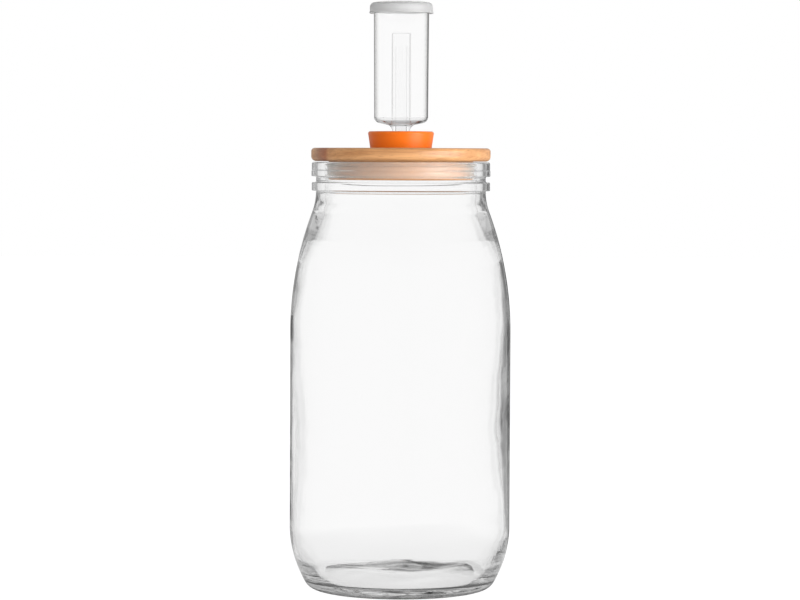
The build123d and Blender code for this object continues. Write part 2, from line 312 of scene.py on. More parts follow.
# %% [markdown]
# ## The floor
# The photograph has a pure white ground. The floor glows white away from the jar, and near it part of
# its brightness is real light, so that the jar still stands on a faint shadow. Right under the jar a
# painted shadow darkens the glow for rays that have been reflected in the glass, which draws the dark
# line round the foot.

# %% Lay the floor
floor_size = 12.0

bm = bmesh.new()
bmesh.ops.create_grid(bm, x_segments=1, y_segments=1, size=floor_size / 2)
floor_mesh = bpy.data.meshes.new("floor")
bm.to_mesh(floor_mesh)
bm.free()
floor = bpy.data.objects.new("floor", floor_mesh)
bpy.context.collection.objects.link(floor)
lit_by_key.objects.link(floor)
print("floor", floor_size, "m across")

# %% [markdown]
# ## The floor's glow
# A diffuse floor alone would never be as white as the ground of the photograph. So rays that should
# see white meet a glow, with painted shade: dimmer near the jar, and dark right under it for reflected
# rays. The cards are mixed in here too, so that they don't end where the floor begins.

# %% The floor's glow
glow_near, glow_far = 0.9, 1.0
shade_near, shade_far = 0.09, 0.45
under_shadow_level, under_near, under_far = 0.12, 0.056, 0.08

floor_material = bpy.data.materials.new("white_floor")
floor_material.use_nodes = True
tree = floor_material.node_tree
tree.nodes.clear()
path, any_of, level, bounced = sees_white(tree)
where = node(tree, "ShaderNodeTexCoord", (-1100, 0))
reach = node(tree, "ShaderNodeVectorMath", (-900, 0), operation="LENGTH")
# Painted shade: the glow is dimmer near the jar, from glow_near out to glow_far.
fade = node(tree, "ShaderNodeMapRange", (-700, 0))
fade.inputs["From Min"].default_value = shade_near
fade.inputs["From Max"].default_value = shade_far
fade.inputs["To Min"].default_value = glow_near
fade.inputs["To Max"].default_value = glow_far
# Painted shadow: right under the jar the glow drops to its under level, for reflected rays alone.
under = node(tree, "ShaderNodeMapRange", (-900, -400))
under.inputs["From Min"].default_value = under_near
under.inputs["From Max"].default_value = under_far
under.inputs["To Min"].default_value = under_shadow_level
painted_shadow_if_bounced = node(tree, "ShaderNodeMix", (-700, -400))
painted_shadow_if_bounced.inputs["A"].default_value = 1.0
shaded = node(tree, "ShaderNodeMath", (-600, -250), operation="MULTIPLY")
direction = node(tree, "ShaderNodeVectorMath", (-1100, -200), operation="NORMALIZE")
split = node(tree, "ShaderNodeSeparateXYZ", (-900, -200))
brightness = cards_if_bounced(tree, split, level, bounced)
glow_seen = node(tree, "ShaderNodeMath", (-500, -150), operation="MULTIPLY")
glow = node(tree, "ShaderNodeEmission", (-300, -150))
tree.links.new(where.outputs["Object"], reach.inputs[0])
tree.links.new(where.outputs["Object"], direction.inputs[0])
tree.links.new(direction.outputs["Vector"], split.inputs[0])
tree.links.new(reach.outputs["Value"], fade.inputs["Value"])
tree.links.new(reach.outputs["Value"], under.inputs["Value"])
tree.links.new(under.outputs["Result"], painted_shadow_if_bounced.inputs["B"])
tree.links.new(bounced.outputs[0], painted_shadow_if_bounced.inputs["Factor"])
tree.links.new(fade.outputs["Result"], shaded.inputs[0])
tree.links.new(painted_shadow_if_bounced.outputs["Result"], shaded.inputs[1])
tree.links.new(shaded.outputs[0], glow_seen.inputs[0])
tree.links.new(brightness.outputs[0], glow_seen.inputs[1])
tree.links.new(glow_seen.outputs[0], glow.inputs["Strength"])
print("floor glows", glow_near, "near the jar and", glow_far, "far away")

# %% [markdown]
# ## The floor's paint
# A thing that casts no shadow seems to float. A thin coat of paint over the glow catches a faint
# shadow, for rays straight from the camera. Rays that only carry light meet plain pale paint, which
# sends some light up to the object as a real floor does.

# %% The floor's paint
floor_grey, shadow_coat = 0.8, 0.24

paint = node(tree, "ShaderNodeBsdfDiffuse", (-300, 150))
paint.inputs["Color"].default_value = (floor_grey, floor_grey, floor_grey, 1)
dim_paint = node(tree, "ShaderNodeBsdfDiffuse", (-300, 0))
dim = node(tree, "ShaderNodeMath", (-500, 0), operation="MULTIPLY")
dim.inputs[1].default_value = shadow_coat
both = node(tree, "ShaderNodeAddShader", (-100, -50))
choose = node(tree, "ShaderNodeMixShader", (100, 100))
out = node(tree, "ShaderNodeOutputMaterial", (300, 100))
tree.links.new(path.outputs["Is Camera Ray"], dim.inputs[0])
tree.links.new(dim.outputs[0], dim_paint.inputs["Color"])
tree.links.new(dim_paint.outputs[0], both.inputs[0])
tree.links.new(glow.outputs[0], both.inputs[1])
tree.links.new(any_of.outputs[0], choose.inputs["Fac"])
tree.links.new(paint.outputs[0], choose.inputs[1])
tree.links.new(both.outputs[0], choose.inputs[2])
tree.links.new(choose.outputs[0], out.inputs["Surface"])
floor_mesh.materials.append(floor_material)
print("floor's material of", len(tree.nodes), "nodes")

# %% [markdown]
# ## Turning an outline
# A piece that is round about Z is a chain of points in the XZ plane, spun through a full turn.
# Long curves are arcs from their centres, and a corner is rounded by an arc between its two runs.

# %% Tools for outlines
def arc(centre, radius, start, sweep, steps):
    # Points on a circle in the XZ plane, from a start angle through a sweep, both in degrees
    angles = [radians(start + sweep * i / steps) for i in range(steps + 1)]
    return [(centre[0] + radius * cos(a), centre[1] + radius * sin(a)) for a in angles]


def rounded(corners, steps=5, closed=False):
    # Corners are (r, z) or (r, z, rounding): each rounded one becomes an arc touching its two runs
    points = []
    for i, corner in enumerate(corners):
        at = Vector(corner[:2])
        if len(corner) == 2 or not closed and i in (0, len(corners) - 1):
            points.append(tuple(at))
            continue
        before = (Vector(corners[i - 1][:2]) - at).normalized()
        after = (Vector(corners[(i + 1) % len(corners)][:2]) - at).normalized()
        half = before.angle(after) / 2
        centre = at + (before + after).normalized() * corner[2] / sin(half)
        first = at + before * corner[2] / tan(half) - centre
        last = at + after * corner[2] / tan(half) - centre
        start, end = atan2(first.y, first.x), atan2(last.y, last.x)
        sweep = (end - start + pi) % (2 * pi) - pi
        points += arc(centre, corner[2], degrees(start), degrees(sweep), steps)
    return points


print("a square corner rounded by 2:", len(rounded([(0, 0), (10, 0, 2), (10, 10)])), "points")

# %% [markdown]
# ## Spinning an outline
# The spin operator turns the outline through a full circle and merges its end with its start. A Screw
# modifier would give the same shape, but the waves of the glass are pushed into the finished points.

# %% Spin an outline
turn_steps = 144


def spin(outline, closed=False, steps=turn_steps):
    # One full turn of an outline, given in millimetres, as a bmesh
    bm = bmesh.new()
    verts = [bm.verts.new((r * mm, 0, z * mm)) for r, z in outline]
    edges = [bm.edges.new(pair) for pair in zip(verts, verts[1:])]
    if closed:
        edges.append(bm.edges.new((verts[-1], verts[0])))
    bmesh.ops.spin(bm, geom=verts + edges, cent=(0, 0, 0), axis=(0, 0, 1), angle=2 * pi,
                   steps=steps, use_merge=True)
    bmesh.ops.remove_doubles(bm, verts=bm.verts, dist=1e-6)
    return bm


print("one turn has", turn_steps, "steps unless a piece says otherwise")

# %% [markdown]
# ## From mesh to piece
# The faces are made to point outwards and shaded smooth, except across real corners. Then the piece
# takes the place of its CAD node and rides on that node's body.

# %% Finish a piece
corner_angle = radians(35)


def finish_piece(bm, name, body, slot, *nodes):
    # Puts a bmesh into the scene as one piece that stands for CAD nodes and rides on their body
    bmesh.ops.recalc_face_normals(bm, faces=bm.faces)
    for face in bm.faces:
        face.smooth = True
    for edge in bm.edges:
        edge.smooth = edge.calc_face_angle(0) < corner_angle
    mesh = bpy.data.meshes.new(name)
    bm.to_mesh(mesh)
    bm.free()
    piece = bpy.data.objects.new(name, mesh)
    bpy.context.collection.objects.link(piece)
    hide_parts(*nodes)
    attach(piece, body)
    print(name, len(mesh.polygons), "faces")
    return piece


print("an edge is shaded sharp above", round(degrees(corner_angle)), "degrees")

# %% [markdown]
# ## Light through clear pieces
# A path tracer can't find a small lamp through bent glass, so what is inside would be lit as if shut
# in a box. Rays that test for shadow meet a tinted Transparent shader in place of the glass.

# %% Let the lamps through
def let_lamps_through(tree, shader, tint):
    # The shader for all rays but shadow rays, which are only tinted, and the material's output
    lamps = node(tree, "ShaderNodeBsdfTransparent", (-400, 200))
    lamps.inputs["Color"].default_value = (*tint, 1)
    path = node(tree, "ShaderNodeLightPath", (-400, 500))
    choose = node(tree, "ShaderNodeMixShader", (0, 100))
    out = node(tree, "ShaderNodeOutputMaterial", (200, 100))
    tree.links.new(path.outputs["Is Shadow Ray"], choose.inputs["Fac"])
    tree.links.new(shader.outputs[0], choose.inputs[1])
    tree.links.new(lamps.outputs[0], choose.inputs[2])
    tree.links.new(choose.outputs[0], out.inputs["Surface"])


print("helper for shadow rays")

# %% [markdown]
# ## Fine waves
# Pressed glass has waves too fine for a mesh. They are noise on Object coordinates, stretched by a
# Mapping node, which tilts the light through a Bump node and leaves the shape alone.

# %% Fine waves as a bump
def rippled(tree, shader, waves, depth, fade_height=0):
    # Waves too fine for the mesh: waves per metre along X, Y and Z, and a depth in metres. With a
    # fade_height they are full at the foot and fade out up to that height.
    where = node(tree, "ShaderNodeTexCoord", (-1500, -400))
    mapping = node(tree, "ShaderNodeMapping", (-1300, -400))
    mapping.inputs["Scale"].default_value = waves
    noise_node = node(tree, "ShaderNodeTexNoise", (-1100, -400))
    noise_node.inputs["Scale"].default_value = 1.0
    noise_node.inputs["Detail"].default_value = 2.0
    bump = node(tree, "ShaderNodeBump", (-700, -400))
    bump.inputs["Strength"].default_value = 1.0
    bump.inputs["Distance"].default_value = depth
    tree.links.new(where.outputs["Object"], mapping.inputs["Vector"])
    tree.links.new(mapping.outputs["Vector"], noise_node.inputs["Vector"])
    height = noise_node.outputs["Fac"]
    if fade_height:
        split = node(tree, "ShaderNodeSeparateXYZ", (-1300, -700))
        fade = node(tree, "ShaderNodeMapRange", (-1100, -700))
        fade.inputs["From Max"].default_value = fade_height
        fade.inputs["To Min"].default_value = 1.0
        fade.inputs["To Max"].default_value = 0.0
        faded = node(tree, "ShaderNodeMath", (-900, -500), operation="MULTIPLY")
        tree.links.new(where.outputs["Object"], split.inputs[0])
        tree.links.new(split.outputs["Z"], fade.inputs["Value"])
        tree.links.new(height, faded.inputs[0])
        tree.links.new(fade.outputs["Result"], faded.inputs[1])
        height = faded.outputs[0]
    tree.links.new(height, bump.inputs["Height"])
    tree.links.new(bump.outputs["Normal"], shader.inputs["Normal"])


print("helper for fine waves")

# %% [markdown]
# ## Clear materials
# Glass and clear plastic are one Principled shader that passes light. Its colour falls off where the
# surface turns edge-on: painted shade in place of the grey that a wall gathers at its outline in a
# bright field. A volume that absorbs light darkens long paths too, but it would be the same for both
# faces of a wall.

# %% One clear material
def clear_material(name, ior, levels, ripple=None):
    # Levels are (facing, level) pairs: facing is 0 looking straight at the surface and 1 edge-on
    material = bpy.data.materials.new(name)
    material.use_nodes = True
    tree = material.node_tree
    tree.nodes.clear()
    # Painted edge shade: the Layer Weight ramp darkens the colour as the surface turns edge-on.
    weight = node(tree, "ShaderNodeLayerWeight", (-900, 0))
    ramp = ramp_of(tree, (-700, 0), *greys(levels))
    shader = node(tree, "ShaderNodeBsdfPrincipled", (-400, 0))
    shader.inputs["Transmission Weight"].default_value = 1.0
    shader.inputs["Roughness"].default_value = 0.0
    shader.inputs["IOR"].default_value = ior
    let_lamps_through(tree, shader, (levels[0][1],) * 3)
    tree.links.new(weight.outputs["Facing"], ramp.inputs["Fac"])
    tree.links.new(ramp.outputs["Color"], shader.inputs["Base Color"])
    if ripple:
        rippled(tree, shader, *ripple)
    return material


print("helper for clear materials")

# %% [markdown]
# ## Glass and clear plastic
# The jar's glass has a true index of 1.5 and three finishes. The outside has flat ripples at the heel,
# where the mould chilled it, the inside has long upright waves and a strong painted shade at its edge,
# and the foot is plain. Each wall of the real airlock is thin and its two faces almost cancel out, so the
# small inner parts have an index near 1 and read as pale outlines, as they do in the photograph.

# %% Mix the clear materials
glass_index = 1.5
heel_ripples = ((30, 30, 420), 0.1 * mm, 34 * mm)
upright_waves = ((140, 140, 14), 0.05 * mm)
glass_outside = clear_material("jar_glass_outside", glass_index, [(0.7, 0.985), (1, 0.88)], heel_ripples)
glass_inside = clear_material("jar_glass_inside", glass_index,
                              [(0.78, 0.985), (0.86, 0.82), (0.92, 0.25), (1, 0.08)], upright_waves)
glass_foot = clear_material("jar_glass_foot", glass_index, [(0.6, 0.97), (1, 0.9)])
body_plastic = clear_material("airlock_plastic", 1.46, [(0.5, 0.99), (0.7, 0.75), (0.9, 0.5), (1, 0.4)])
funnel_plastic = clear_material("airlock_funnel_plastic", 1.03, [(0.4, 0.92), (0.72, 0.64), (1, 0.5)])
riser_plastic = clear_material("airlock_riser_plastic", 1.02, [(0.8, 0.995), (1, 0.93)])
float_plastic = clear_material("float_plastic", 1.04, [(0.5, 0.99), (0.8, 0.93), (1, 0.8)])
print("three finishes of glass and four of clear plastic")

# %% [markdown]
# ## The glass jar
# A pressed and blown jar has a true outside, from its mould, and a freer inside, from the breath of
# air: the wall is thicker in places, and its inner face waves a little. The outside is the mould's
# outline. The inside is spun apart, pushed about by smooth noise away from the mouth, and then joined
# to the outside at the rim. Each has its own material, because each has its own painted shade at its
# edge.
# The sizes are the CAD's, and the jar's own box gives its height and its radius.

# %% Sizes of the jar's outside
jar_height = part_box("glass_jar")[1].z / mm
body_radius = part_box("glass_jar")[1].x / mm
shoulder_radius, neck_radius, neck_fillet = 215.0, 53.4, 38.0
mouth_radius, rim_flat = 47.9, 2.2
heel_radius, heel_lean, foot_corner = 70.6, 30.5, 8.4
foot_width, pushup = 4.0, 3.2
top_ring, top_ring_foot = 56.3, jar_height - 9.0
rim_band, rim_band_foot = 56.1, jar_height - 5.2
lower_ring, lower_ring_top = 56.1, top_ring_foot - 3.7
lower_ring_foot = lower_ring_top - 5.3
parting, parting_ridge = lower_ring_foot - 1.35, 0.3
print("jar", round(2 * body_radius, 1), "mm across and", round(jar_height, 1), "mm tall")

# %% [markdown]
# ## Where the long curves meet
# The wall goes straight up, leans in by a long arc, and turns back up by a shorter one under the rings.
# The centres of these two are the sum of their radii apart, and the height where the shoulder starts
# follows from that. The heel is an arc too, and a small one rounds the corner of the foot.

# %% Centres of the shoulder and the heel
apart = shoulder_radius + neck_fillet
shoulder_r = body_radius - shoulder_radius
fillet_r = neck_radius + neck_fillet
rise = sqrt(apart**2 - (fillet_r - shoulder_r) ** 2)
shoulder_foot = lower_ring_foot - rise
shoulder_angle = degrees(asin(rise / apart))
lean = radians(heel_lean)
foot_radius = body_radius - heel_radius * (1 - cos(lean)) - foot_corner * cos(lean)
heel_top = foot_corner * (1 - sin(lean)) + heel_radius * sin(lean)
print("heel up to", round(heel_top, 1), "mm, shoulder from", round(shoulder_foot, 1), "mm")

# %% [markdown]
# ## The outline of the outside
# It runs from the middle of the pushed-up base out to the foot, up the heel and the wall, in over the
# shoulder, past the ridge of the parting line and the two rings, and to the flat of the rim.

# %% Outline of the jar's outside
base_run = foot_radius - foot_width
base_steps, base_curve = 14, 2.2
base = [(base_run * i / base_steps, pushup * (1 - (i / base_steps) ** base_curve))
        for i in range(base_steps)]
outside = (
    base
    + rounded([(base_run * 0.93, 0.6), (base_run, 0, 2.5), (foot_radius, 0)])[1:-1]
    + arc((foot_radius, foot_corner), foot_corner, -90, 90 - heel_lean, 12)
    + arc((body_radius - heel_radius, heel_top), heel_radius, -heel_lean, heel_lean, 50)[1:]
    + arc((shoulder_r, shoulder_foot), shoulder_radius, 0, shoulder_angle, 30)
    + arc((fillet_r, lower_ring_foot), neck_fillet, 180 + shoulder_angle, -shoulder_angle, 8)[1:-1]
    + rounded([
        (neck_radius, parting - 0.6), (neck_radius, parting - 0.35),
        (neck_radius + parting_ridge, parting, 0.15), (neck_radius, parting + 0.35),
        (neck_radius, lower_ring_foot, 0.3), (lower_ring, lower_ring_foot, 0.5),
        (lower_ring, lower_ring_top, 0.7), (neck_radius, lower_ring_top, 0.9),
        (neck_radius, top_ring_foot, 0.9), (top_ring, top_ring_foot, 0.5),
        (top_ring, rim_band_foot - 0.3, 0.2), (rim_band - 0.15, rim_band_foot, 0.15),
        (rim_band, rim_band_foot + 0.3, 0.2),
        (rim_band, jar_height, 1.2), (mouth_radius + rim_flat, jar_height),
    ])
)
print("jar outside:", len(outside), "points")

# %% [markdown]
# ## The inside of the glass
# Inside, the bore goes straight down past the lid's plug, opens into the shoulder, and follows the
# outside at the wall's thickness. The heel is thick and leans in early, as a pressed jar's does, and
# the floor is nearly flat. Where this face starts to lean is where the dark line of the heel is seen.

# %% Outline of the jar's inside
bore_length, wall = 31.0, 2.3
throat_radius, throat_height = 57.8, 219.5
inner_heel, inner_lean, floor_corner = 50.0, 38.5, 3.5
floor_height, floor_dome = 7.2, 0.8
wall_steps, floor_steps = 56, 12

bore_foot = jar_height - bore_length
inner_shoulder = shoulder_radius - wall
join_angle = 12.5
join = arc((shoulder_r, shoulder_foot), inner_shoulder, join_angle, 0, 1)[0]
inner_radius = body_radius - wall
inner_turn = radians(inner_lean)
floor_edge = inner_radius - inner_heel * (1 - cos(inner_turn)) - floor_corner * cos(inner_turn)
inner_heel_top = floor_height + floor_corner * (1 - sin(inner_turn)) + inner_heel * sin(inner_turn)
inside = (
    rounded([(mouth_radius + rim_flat, jar_height), (mouth_radius, jar_height, 1.6),
             (mouth_radius, bore_foot, 15), (throat_radius, throat_height, 12), join], steps=14)
    + arc((shoulder_r, shoulder_foot), inner_shoulder, join_angle - 1.5, 1.5 - join_angle, 30)
    + [(inner_radius, shoulder_foot + (inner_heel_top - shoulder_foot) * i / wall_steps)
       for i in range(1, wall_steps)]
    + arc((inner_radius - inner_heel, inner_heel_top), inner_heel, 0, -inner_lean, 26)
    + arc((floor_edge, floor_height + floor_corner), floor_corner, -inner_lean,
          inner_lean - 90, 8)[1:]
    + [(floor_edge * (1 - i / floor_steps), floor_height + floor_dome * (i / floor_steps) ** 1.5)
       for i in range(1, floor_steps + 1)]
)
print("jar inside:", len(inside), "points")

# %% [markdown]
# ## The freedom of blown glass
# Air pushes the hot glass against the mould, so the inner face is never quite round. Smooth noise that
# follows the angle round the jar and the height gives long waves, two broad swells make the wall
# thicker on one side and low down, and lumps vary the heel. All of it dies out at the mouth, where a
# tool shapes the bore true, and in the floor, which has waves of its own.

# %% Waves of the inner face
mouth_clear, mouth_fade = 8, 30
floor_clear, floor_fade = 9, 22
wave_depth = 0.3
thick_side, thick_height, thick_reach = 2.5, 124, 88
low_swell, swell_height, swell_reach = 1.8, 87, 58
heel_lumps, heel_side = -0.7, 0.3
heel_height, heel_reach = 20, 14


def settle_glass(co):
    # How far the inner face stands in from its true radius at a point, in millimetres. In the noise,
    # the divisors of z are the lengths of the waves in millimetres up the wall, and the factors of
    # cos and sin set how many go round it.
    z = co.z / mm
    below_mouth = min(max((bore_foot + mouth_clear - z) / mouth_fade, 0), 1)
    above_floor = min(max((z - floor_clear) / floor_fade, 0), 1)
    free = below_mouth * above_floor
    middle = max(0, 1 - ((z - thick_height) / thick_reach) ** 2) ** 2
    side = atan2(co.y, co.x)
    waves = noise.fractal(Vector((cos(side) * 1.1, sin(side) * 1.1, z / 26)), 1.0, 2.0, 2)
    fine = noise.noise(Vector((cos(side) * 3.2, sin(side) * 3.2, z / 70)))
    cords = noise.noise(Vector((cos(side) * 2.4 + 9, sin(side) * 2.4, z / 7)))
    lopsided = thick_side * max(0, cos(side)) ** 2 * middle
    swell = low_swell * max(0, 1 - ((z - swell_height) / swell_reach) ** 2) ** 2
    heel = max(0, 1 - abs(z - heel_height) / heel_reach)
    lumps = noise.noise(Vector((cos(side) * 1.7, sin(side) * 1.7 + 3, z / 30)))
    free_waves = free * (wave_depth * (waves + 0.5 * fine + 0.22 * cords) + swell)
    return free_waves + lopsided + heel * (heel_lumps * lumps + heel_side * cos(side))


print("waves", wave_depth, "mm deep, swells", thick_side, "and", low_swell, "mm")

# %% [markdown]
# ## Ripples of the mould and waves of the floor
# Glass that touches the cold mould first is chilled, and lies in long, flat ripples round the heel.
# They are a few hundredths of a millimetre deep, so the jar's size doesn't change. The floor waves
# more, and the rise and hollows at its back give the streaks that are seen through the front.

# %% Ripples and the floor
ripple_depth, ripple_pitch, ripple_top = 0.06, 4.0, 34
peel_depth = 0.012
neck_clear, neck_fade = 4, 12
floor_wave, floor_pitch, back_rise = 1.6, 38, 4.0


def mould_ripple(co):
    # How far the outer face stands in from its true radius at a point, in millimetres
    z = co.z / mm
    side = atan2(co.y, co.x)
    low = max(0, 1 - z / ripple_top) * min(1, z / 1.5)
    ripples = noise.fractal(Vector((cos(side) * 2.2, sin(side) * 2.2 + 5, z / ripple_pitch)), 1.0, 2.0, 2)
    peel = noise.noise(Vector((cos(side) * 6, sin(side) * 6, z / 16)))
    below_neck = min(1, max(0, (parting - neck_clear - z) / neck_fade))
    return ripple_depth * low * ripples + peel_depth * peel * below_neck


def floor_rise(co):
    # How far the floor stands up at a point, in millimetres: it waves, and towards the back it has a
    # rise with a hollow at either side of it
    out = co.xy.length / (floor_edge * mm)
    side = atan2(co.y, co.x)
    waves = floor_wave * noise.noise(Vector((co.x * floor_pitch, co.y * floor_pitch, 4)))
    back = back_rise * cos(4 * side) * max(0, sin(side)) * out**2
    return (waves + back) * (1 - out**4)


print("ripples", ripple_depth, "mm deep, floor waves", floor_wave, "mm")

# %% [markdown]
# ## One glass body
# Both outlines are spun, each point is pushed in by the depth found at it, and the two surfaces are
# joined where they meet at the rim. The points near the axis stay, so that the poles stay round. The
# faces of the inside and of the foot then get their own finishes.

# %% Spin and join the two surfaces
still_radius = 5 * mm
foot_reach, facing_down = 1.5 * foot_width * mm, -0.9


def push_in(bm, depth):
    # Moves each point of a spun surface towards the axis by the depth found at it
    for vert in bm.verts:
        away = Vector((vert.co.x, vert.co.y, 0))
        if away.length > still_radius:
            vert.co -= away.normalized() * depth(vert.co) * mm


outer_bm = spin(outside)
inner_bm = spin(inside)
push_in(outer_bm, mould_ripple)
push_in(inner_bm, settle_glass)
for vert in inner_bm.verts:
    if vert.co.z < (floor_height + 2) * mm and vert.co.xy.length < floor_edge * mm:
        vert.co.z += floor_rise(vert.co) * mm
for face in inner_bm.faces:
    face.material_index = 1
inner_mesh = bpy.data.meshes.new("inner_wall")
inner_bm.to_mesh(inner_mesh)
inner_bm.free()
outer_bm.from_mesh(inner_mesh)
bmesh.ops.remove_doubles(outer_bm, verts=outer_bm.verts, dist=1e-6)
jar = finish_piece(outer_bm, "jar_body_glass", "jar", "jar_glass", "glass_jar")
jar.data.materials.append(glass_outside)
jar.data.materials.append(glass_inside)
jar.data.materials.append(glass_foot)
for face in jar.data.polygons:
    if face.material_index == 0 and face.center.z < foot_reach and face.normal.z < facing_down:
        face.material_index = 2

# %% [markdown]
# ## The airlock
# Three mouldings of plastic: the clear body, with its riser and stem in one, the clear float over the
# riser, and the milky cap. The walls are about a millimetre, so each is an outline of both its faces
# with rounded corners. The sizes follow each other as in the CAD: the stem carries the funnel, and the
# cylinder and the riser stand on it.

# %% Sizes of the airlock's body
chamber_lo, chamber_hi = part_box("airlock_body")
chamber_top, stem_foot = chamber_hi.z / mm, chamber_lo.z / mm
snap_rim = chamber_hi.x / mm
chamber_radius, chamber_draft, plastic_wall = 16.95, 0.4, 1.1
stem_length = 33.5
funnel_foot = stem_foot + stem_length
funnel_lean = radians(13)
funnel_slope = tan(funnel_lean)
stem_radius, stem_taper, stem_bore = 5.65, 0.75, 3.9
riser_radius, riser_foot_radius, riser_bore = 4.5, 5.0, 3.4
cone_height, riser_height, snap_drop = 3.8, 44.9, 1.6
over_stem = funnel_foot + plastic_wall / cos(funnel_lean)
cone_top = over_stem + cone_height
riser_top = cone_top + riser_height
snap_top = chamber_top - snap_drop
chamber_foot = funnel_foot + (chamber_radius - stem_radius) * funnel_slope
inner_chamber = chamber_radius - plastic_wall
floor_edge_z = over_stem + (inner_chamber - stem_radius) * funnel_slope
print("riser's top", round(chamber_top - riser_top, 1), "mm under the rim of the airlock")

# %% [markdown]
# ## The airlock's body
# One closed outline goes up the outside, over the rim, down the inside to the sloping floor, up the
# riser and down the bore of the stem. The body gets three finishes by the place of its faces: its
# cylinder, its sloping funnel and its riser.

# %% The airlock's body
body_outline = rounded([
    (stem_bore, stem_foot, 0.2), (stem_radius - stem_taper, stem_foot, 0.4),
    (stem_radius, funnel_foot, 4.2), (chamber_radius, chamber_foot, 3.4),
    (chamber_radius + chamber_draft, snap_top - 2.2, 0.3), (snap_rim, snap_top - 1.1, 0.3),
    (chamber_radius + chamber_draft, snap_top, 0.3), (chamber_radius + chamber_draft, chamber_top, 0.3),
    (chamber_radius + chamber_draft - plastic_wall, chamber_top, 0.3),
    (inner_chamber, floor_edge_z, 1.9), (riser_foot_radius + 1.6, over_stem, 1.2),
    (riser_foot_radius, cone_top, 1.0), (riser_radius, riser_top, 0.4),
    (riser_bore, riser_top, 0.3), (riser_bore, over_stem, 2.0),
], closed=True)
airlock_body = finish_piece(spin(body_outline, closed=True, steps=96), "airlock_body_plastic",
                            "airlock", "clear_plastic", "airlock_body")
for material in (body_plastic, funnel_plastic, riser_plastic):
    airlock_body.data.materials.append(material)
funnel_edge, riser_edge = chamber_foot + 2.4, riser_foot_radius + 1
for face in airlock_body.data.polygons:
    centre = face.center / mm
    if centre.z < funnel_edge:
        face.material_index = 1
    if centre.z > over_stem and centre.xy.length < riser_edge:
        face.material_index = 2

# %% [markdown]
# ## Cutting through a wall
# The float has notches and the cap has vents. A cut across a round wall has no simple bmesh operator,
# so both are made with an exact Boolean, whose result is written into the mesh.

# %% A helper that cuts
def cut(piece, cutter_bm):
    # Takes a closed cutter out of a piece with an exact Boolean, and leaves no modifier behind
    mesh = bpy.data.meshes.new("cutter")
    cutter_bm.to_mesh(mesh)
    cutter_bm.free()
    cutter = bpy.data.objects.new("cutter", mesh)
    bpy.context.collection.objects.link(cutter)
    boolean = piece.modifiers.new("cut", "BOOLEAN")
    boolean.object, boolean.operation, boolean.solver = cutter, "DIFFERENCE", "EXACT"
    shaped = bpy.data.meshes.new_from_object(
        piece.evaluated_get(bpy.context.evaluated_depsgraph_get()))
    piece.modifiers.remove(boolean)
    piece.data = shaped
    bpy.data.objects.remove(cutter)


print("helper that cuts")

# %% [markdown]
# ## The float
# An upturned cup over the riser, which gas lifts. Notches in its foot let the water in and the gas
# out. The cutters are two thin boxes across it, so each makes a pair of notches.

# %% The float and its notches
float_lo, float_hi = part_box("airlock_float")
float_foot, float_top, float_radius = float_lo.z / mm, float_hi.z / mm, float_hi.x / mm
float_wall = 0.75
float_outline = rounded([
    (0, float_top), (float_radius, float_top, 0.9), (float_radius, float_foot, 0.25),
    (float_radius - float_wall, float_foot, 0.25),
    (float_radius - float_wall, float_top - float_wall, 0.4), (0, float_top - float_wall),
])
airlock_float = finish_piece(spin(float_outline, steps=96), "airlock_float_plastic",
                             "float", "float_plastic", "airlock_float")
airlock_float.data.materials.append(float_plastic)
notches = bmesh.new()
notch_width, notch_height = 1.1, 2.8
for across in range(2):
    made = bmesh.ops.create_cube(notches, size=1)["verts"]
    size = (notch_width * mm, 3 * float_radius * mm, 2 * notch_height * mm)
    bmesh.ops.scale(notches, verts=made, vec=size)
    bmesh.ops.rotate(notches, verts=made, matrix=Matrix.Rotation(across * pi / 2, 3, "Z"))
    bmesh.ops.translate(notches, verts=made, vec=(0, 0, float_foot * mm))
cut(airlock_float, notches)
print("float with notches", notch_width, "mm wide:", len(airlock_float.data.polygons), "faces")

# %% [markdown]
# ## The cap
# A snap cap in milky plastic, thin enough for light to come through. Six small vents let the gas out.
# Part transmission and part plain colour, with a rough surface, gives the milkiness without the cost
# of a volume.

# %% The cap and its vents
cap_material = bpy.data.materials.new("milky_cap")
cap_material.use_nodes = True
shader = cap_material.node_tree.nodes["Principled BSDF"]
shader.inputs["Base Color"].default_value = (0.89, 0.89, 0.89, 1)
shader.inputs["Transmission Weight"].default_value = 0.68
shader.inputs["Roughness"].default_value = 0.5
shader.inputs["IOR"].default_value = 1.46

cap_lo, cap_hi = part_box("airlock_cap")
cap_foot, cap_top, cap_lip = cap_lo.z / mm, cap_hi.z / mm, cap_hi.x / mm
cap_gap = 0.06
cap_wall, cap_bore = 1.3, snap_rim + cap_gap
cap_outline = rounded([
    (0, cap_top), (cap_bore + cap_wall, cap_top, 3.0), (cap_bore + cap_wall, cap_foot + 1.2, 0.3),
    (cap_lip, cap_foot + 1.0, 0.2), (cap_lip, cap_foot, 0.35), (cap_bore, cap_foot, 0.25),
    (cap_bore, cap_top - cap_wall, 1.8), (0, cap_top - cap_wall),
])
airlock_cap = finish_piece(spin(cap_outline, steps=96), "airlock_cap_plastic",
                           "cap", "cap_plastic", "airlock_cap")
airlock_cap.data.materials.append(cap_material)
vents = bmesh.new()
vent_count, vent_radius, vent_circle = 6, 0.6, 0.55 * cap_bore
for i in range(vent_count):
    turn = Matrix.Rotation(2 * pi * i / vent_count, 4, "Z")
    spot = turn @ Vector((vent_circle, 0, cap_top - cap_wall / 2))
    bmesh.ops.create_cone(vents, cap_ends=True, segments=20, radius1=vent_radius * mm,
                          radius2=vent_radius * mm, depth=3 * cap_wall * mm,
                          matrix=Matrix.Translation(spot * mm))
cut(airlock_cap, vents)
print("cap with", vent_count, "vents:", len(airlock_cap.data.polygons), "faces")

# %% [markdown]
# ## The wooden lid
# A disc of pale hardwood with well rounded edges, turned in one with its plug. The grain runs along X,
# so the front shows long streaks and short dark flecks, and the two ends show end grain.

